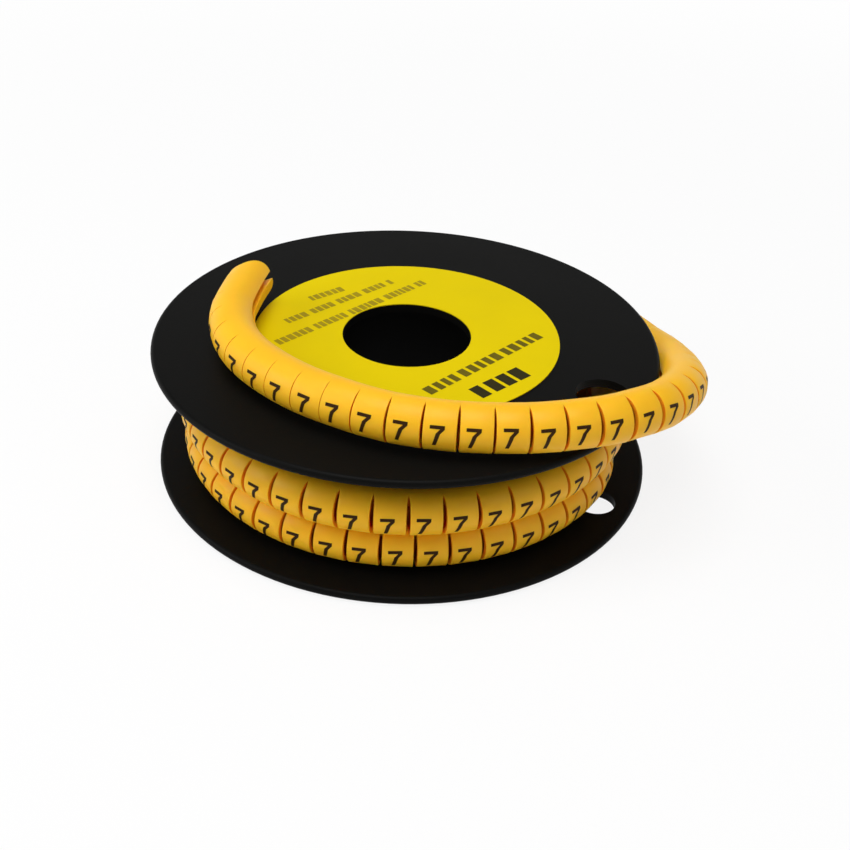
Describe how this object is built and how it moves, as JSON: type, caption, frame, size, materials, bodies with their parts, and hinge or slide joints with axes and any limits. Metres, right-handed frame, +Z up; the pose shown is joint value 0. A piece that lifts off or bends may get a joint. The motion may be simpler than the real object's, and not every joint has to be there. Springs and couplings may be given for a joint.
{
  "type": "cable marker roll",
  "caption": "Roll of printed slit-tube cable markers: an orange-yellow strip of soft sleeves wound on a black two-part flanged reel, with a round yellow label and one free end.",
  "frame": {"origin": "on the reel's axis, in the plane of its lower face", "axes": "+Z up along the reel's axis from the lower flange to the labelled one, +Y away from the side where the strip's free end crosses in front of the label, +X to the side where the free end climbs over the rim"},
  "size_m": [0.098, 0.0916, 0.0326],
  "materials": {
    "reel_plastic": "matte black moulded plastic",
    "label_paper": "coated yellow paper",
    "marker_pvc": "soft satin orange-yellow vinyl"
  },
  "bodies": {
    "root": {"lower_reel_half": "reel_plastic", "upper_reel_half": "reel_plastic", "label": "label_paper", "marker_strip": "marker_pvc"}
  },
  "joints": []
}
